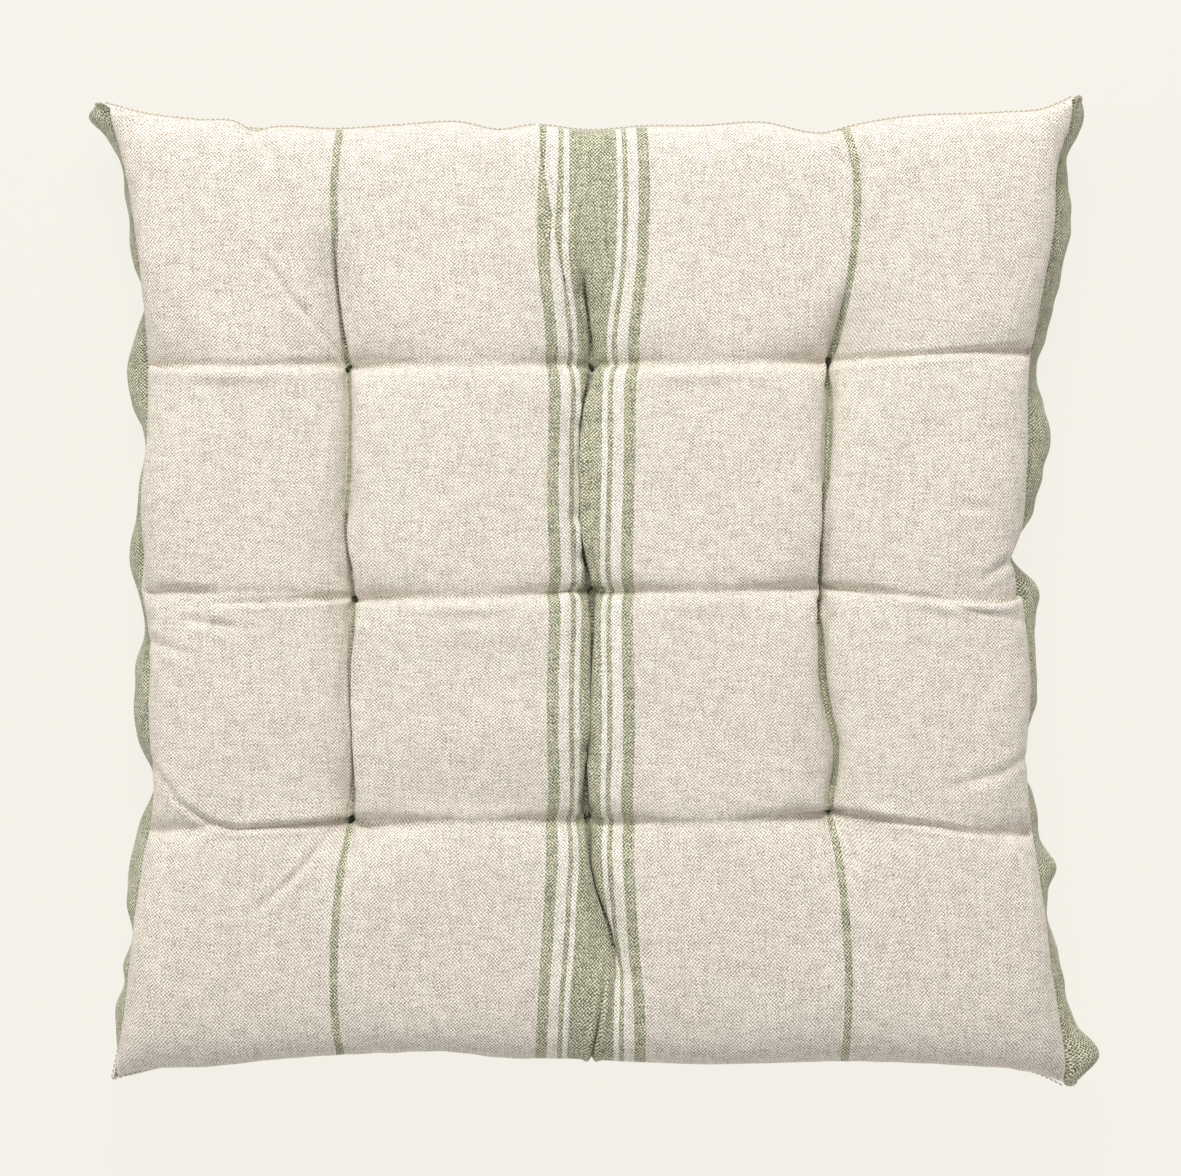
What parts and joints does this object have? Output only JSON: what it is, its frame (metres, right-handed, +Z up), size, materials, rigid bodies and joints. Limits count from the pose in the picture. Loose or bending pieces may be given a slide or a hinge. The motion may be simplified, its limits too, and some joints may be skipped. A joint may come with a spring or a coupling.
{
  "type": "chair seat pad",
  "caption": "Square boxed seat pad in striped linen with plain side strips, wadding and tufting ties, for sitting on a chair.",
  "frame": {"origin": "middle of the underside, on the surface the pad rests on", "axes": "+Z up through the pad, +Y to the rear edge, +X to the right; the woven stripes run front to rear along Y"},
  "size_m": [0.4092, 0.4106, 0.056],
  "materials": {
    "linen": "natural linen weave with sage and white stripes",
    "sage_cloth": "plain sage weave",
    "seam_thread": "matt sewing thread",
    "wadding": "soft fibre wadding",
    "twine": "waxed dark tufting twine"
  },
  "bodies": {
    "root": {"top_panel": "linen", "bottom_panel": "linen", "left_side_strip": "sage_cloth", "right_side_strip": "sage_cloth", "front_side_strip": "linen", "rear_side_strip": "linen", "top_seam_thread": "seam_thread", "bottom_seam_thread": "seam_thread", "corner_seam_front_left": "seam_thread", "corner_seam_front_right": "seam_thread", "corner_seam_rear_left": "seam_thread", "corner_seam_rear_right": "seam_thread", "upper_wadding": "wadding", "core_wadding": "wadding", "lower_wadding": "wadding", "tie_rear_left": "twine", "tie_rear_centre": "twine", "tie_rear_right": "twine", "tie_middle_left": "twine", "tie_middle_centre": "twine", "tie_middle_right": "twine", "tie_front_left": "twine", "tie_front_centre": "twine", "tie_front_right": "twine"}
  },
  "joints": []
}
